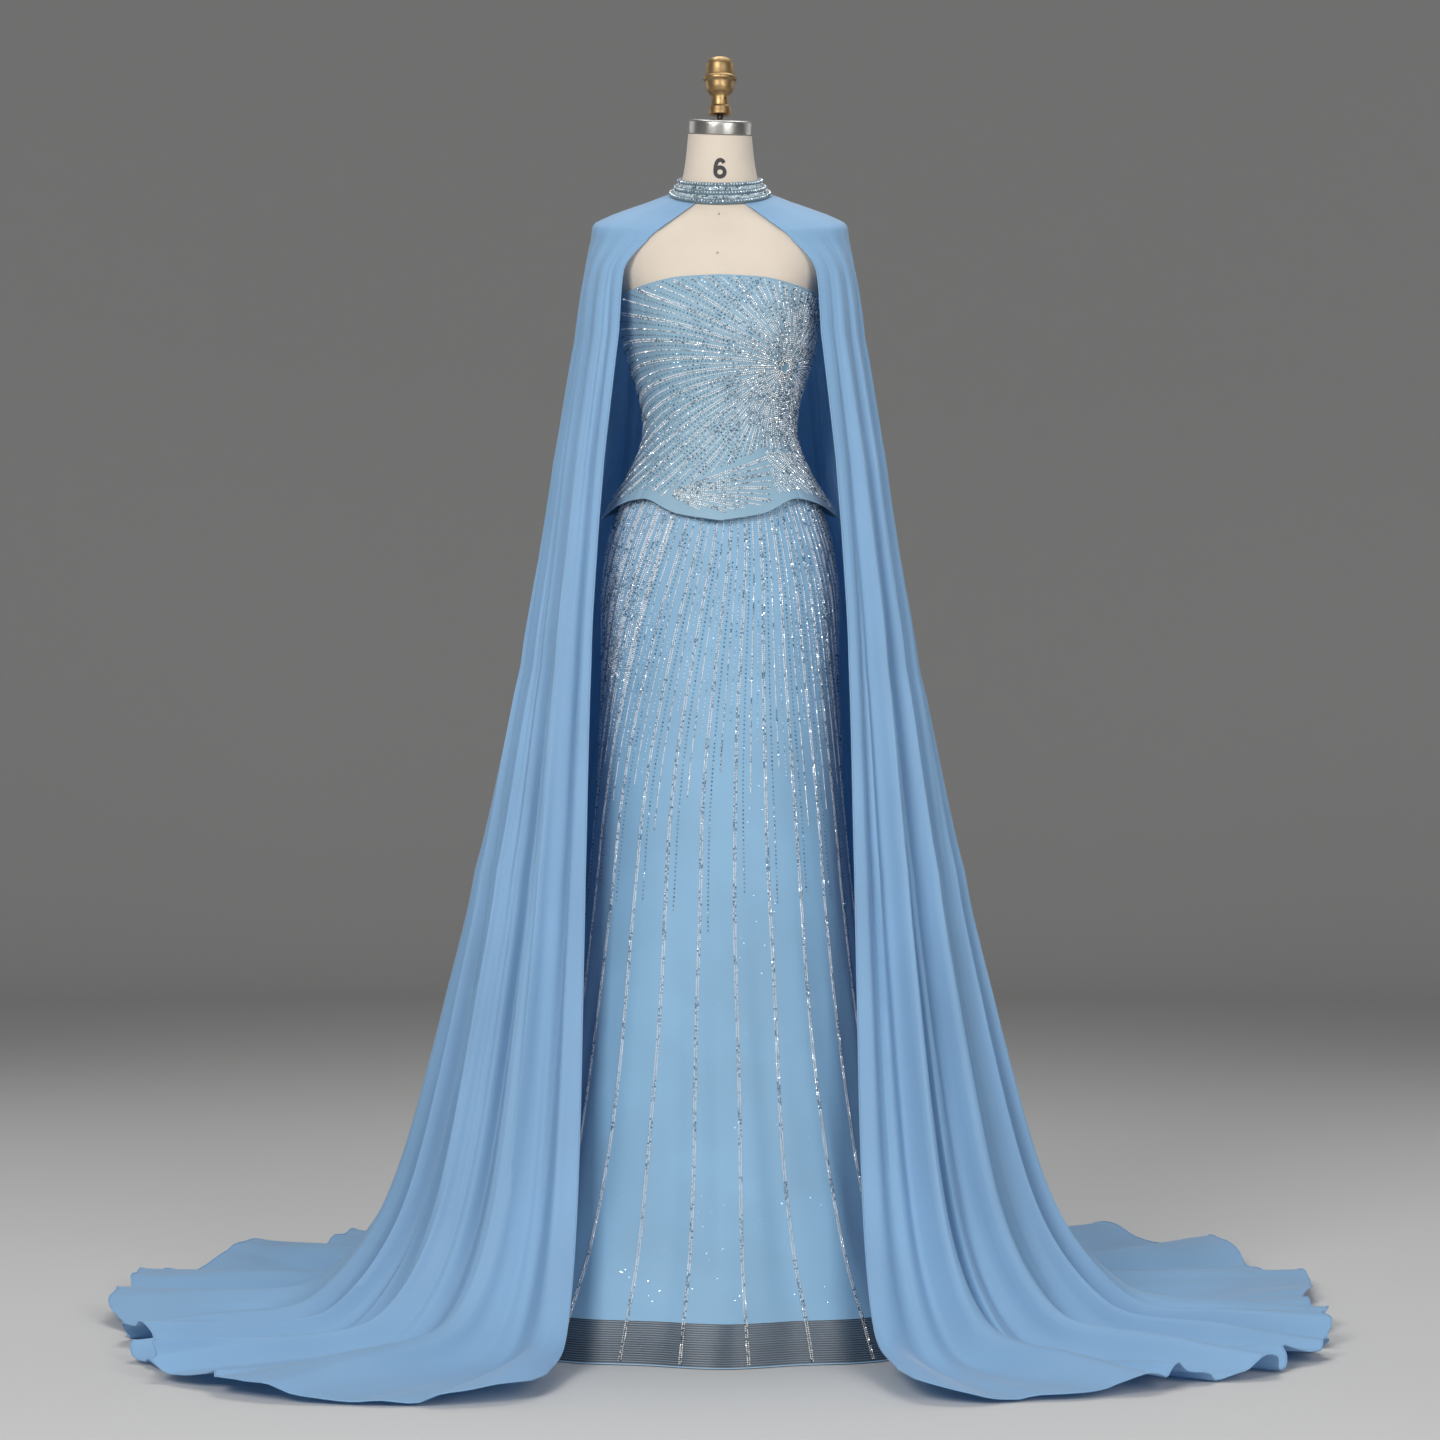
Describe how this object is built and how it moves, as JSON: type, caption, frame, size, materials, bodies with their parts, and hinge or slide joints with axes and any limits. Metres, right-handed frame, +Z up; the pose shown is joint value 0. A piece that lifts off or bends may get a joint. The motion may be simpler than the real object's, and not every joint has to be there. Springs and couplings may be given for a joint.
{
  "type": "mermaid evening dress with a cape on a dress form",
  "caption": "Strapless beaded mermaid gown with a flared basque, horsehair hem and standing collar with a long chiffon cape, shown on a limbless linen dress form with a turned finial",
  "frame": {"origin": "centre of the underside of the stand's base, on the floor", "axes": "+Z up, -Y is the front of the dress, +X is the wearer's left (the viewer's right)"},
  "size_m": [1.8804, 1.7181, 1.8876],
  "materials": {
    "linen": "ivory linen cover, plain weave, matte",
    "steel": "turned steel cap, fine circular brushing",
    "dark_rod": "black rod, satin",
    "brass": "antique brass, worn satin",
    "stand_paint": "off-white powder coat, satin",
    "beaded_tulle": "pale blue tulle over lining with silver beads and glitter",
    "skirt_tulle": "pale blue white tulle over lining with long beaded rows",
    "lining": "smooth pale blue lining",
    "horsehair": "sheer stiff horsehair braid",
    "collar_cloth": "pale blue band with silver beads",
    "chiffon": "dusty light blue chiffon, soft sheen, a little see-through",
    "zip_cloth": "pale blue zip tape and coil",
    "zip_metal": "small nickel plated parts"
  },
  "bodies": {
    "gown": {"form_torso": "linen", "form_neck_cap": "steel", "form_stem": "dark_rod", "form_finial": "brass", "form_pole": "stand_paint", "form_base": "stand_paint", "bodice_front_centre": "beaded_tulle", "bodice_front_left": "beaded_tulle", "bodice_front_right": "beaded_tulle", "bodice_back_left": "beaded_tulle", "bodice_back_right": "beaded_tulle", "zip_tape": "zip_cloth", "zip_slider": "zip_metal", "skirt_front": "skirt_tulle", "skirt_back_left": "skirt_tulle", "skirt_back_right": "skirt_tulle", "lining_hem": "lining", "hem_braid_front": "horsehair", "hem_braid_back": "horsehair", "collar_band": "collar_cloth", "collar_clasp": "zip_metal", "cape_left_front": "chiffon", "cape_left_back": "chiffon", "cape_right_front": "chiffon", "cape_right_back": "chiffon"},
    "zip_pull": {"zip_pull": "zip_metal"}
  },
  "joints": [
    {"name": "zip_pull_hinge", "type": "hinge", "parent": "gown", "child": "zip_pull", "pos_m": [0, 0.1225, 1.479], "axis": [1, 0, 0], "range_deg": [0, 170]}
  ]
}
